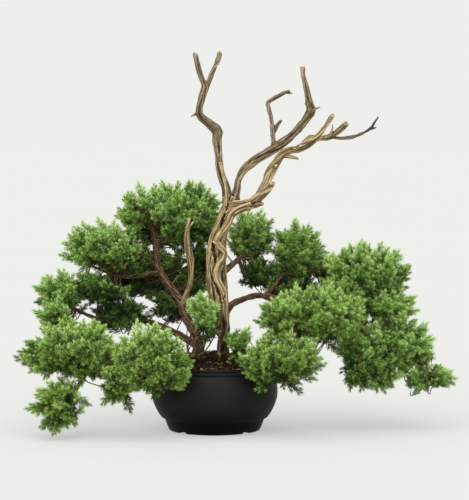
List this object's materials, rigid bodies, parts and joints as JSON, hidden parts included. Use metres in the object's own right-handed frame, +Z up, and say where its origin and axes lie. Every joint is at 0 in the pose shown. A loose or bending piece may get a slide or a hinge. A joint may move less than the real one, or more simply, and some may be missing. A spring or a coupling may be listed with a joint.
{
  "type": "potted juniper bonsai tree",
  "caption": "Juniper bonsai with a twisted dead trunk and bare upper limbs over spreading needle foliage, growing in a round black plastic bonsai pot.",
  "frame": {"origin": "centre of the pot's flat base, on the surface it stands on", "axes": "+Z up, -Y towards the front of the tree, +X to the viewer's right when facing its front"},
  "size_m": [0.6902, 0.357, 0.6073],
  "materials": {
    "pot": "satin black moulded plastic",
    "drain_screen": "dark woven plastic screen",
    "soil": "dark brown bark-based potting mix with fine roots",
    "bark_chip": "tan bark chips",
    "dead_wood": "weathered, twisted, silvery tan deadwood",
    "live_bark": "reddish brown flaking bark",
    "foliage_bright": "bright young needle sprays",
    "foliage_dark": "darker inner needle sprays"
  },
  "bodies": {
    "root": {"pot": "pot", "drain_screen_1": "drain_screen", "drain_screen_2": "drain_screen", "drain_screen_3": "drain_screen", "drain_screen_4": "drain_screen", "soil": "soil", "bark_chip_1": "bark_chip", "bark_chip_2": "bark_chip", "bark_chip_3": "bark_chip", "bark_chip_4": "bark_chip", "bark_chip_5": "bark_chip", "bark_chip_6": "bark_chip", "trunk_deadwood": "dead_wood", "dead_stub_left": "dead_wood", "branch_left_upper": "live_bark", "branch_left_side": "live_bark", "branch_left_low": "live_bark", "branch_left_front": "live_bark", "branch_back_left": "live_bark", "branch_right_low": "live_bark", "branch_right_front": "live_bark", "branch_right_upper": "live_bark", "branch_back_right": "live_bark", "branch_centre_back": "live_bark", "foliage_left_front": "foliage_bright", "foliage_left_low": "foliage_bright", "foliage_left_hanging": "foliage_bright", "foliage_right_low_front": "foliage_bright", "foliage_right_front": "foliage_bright", "foliage_centre_plume": "foliage_bright", "foliage_right_low": "foliage_bright", "foliage_right_tip": "foliage_bright", "foliage_right_fringe": "foliage_dark", "foliage_right_upper": "foliage_bright", "foliage_right_back": "foliage_dark", "foliage_centre_back": "foliage_dark", "foliage_left_crown": "foliage_dark", "foliage_left_wing": "foliage_dark", "foliage_left_mid": "foliage_bright", "foliage_left_inner": "foliage_dark", "foliage_left_under": "foliage_dark", "foliage_back_left": "foliage_dark", "foliage_back_right": "foliage_dark", "foliage_left_droop": "foliage_bright", "foliage_left_between": "foliage_bright", "foliage_right_base": "foliage_bright", "foliage_right_side": "foliage_bright", "foliage_right_gap": "foliage_dark", "foliage_right_heart": "foliage_dark", "foliage_right_under": "foliage_dark", "foliage_left_link": "foliage_dark", "foliage_left_heart": "foliage_dark", "foliage_centre_left": "foliage_dark"}
  },
  "joints": []
}
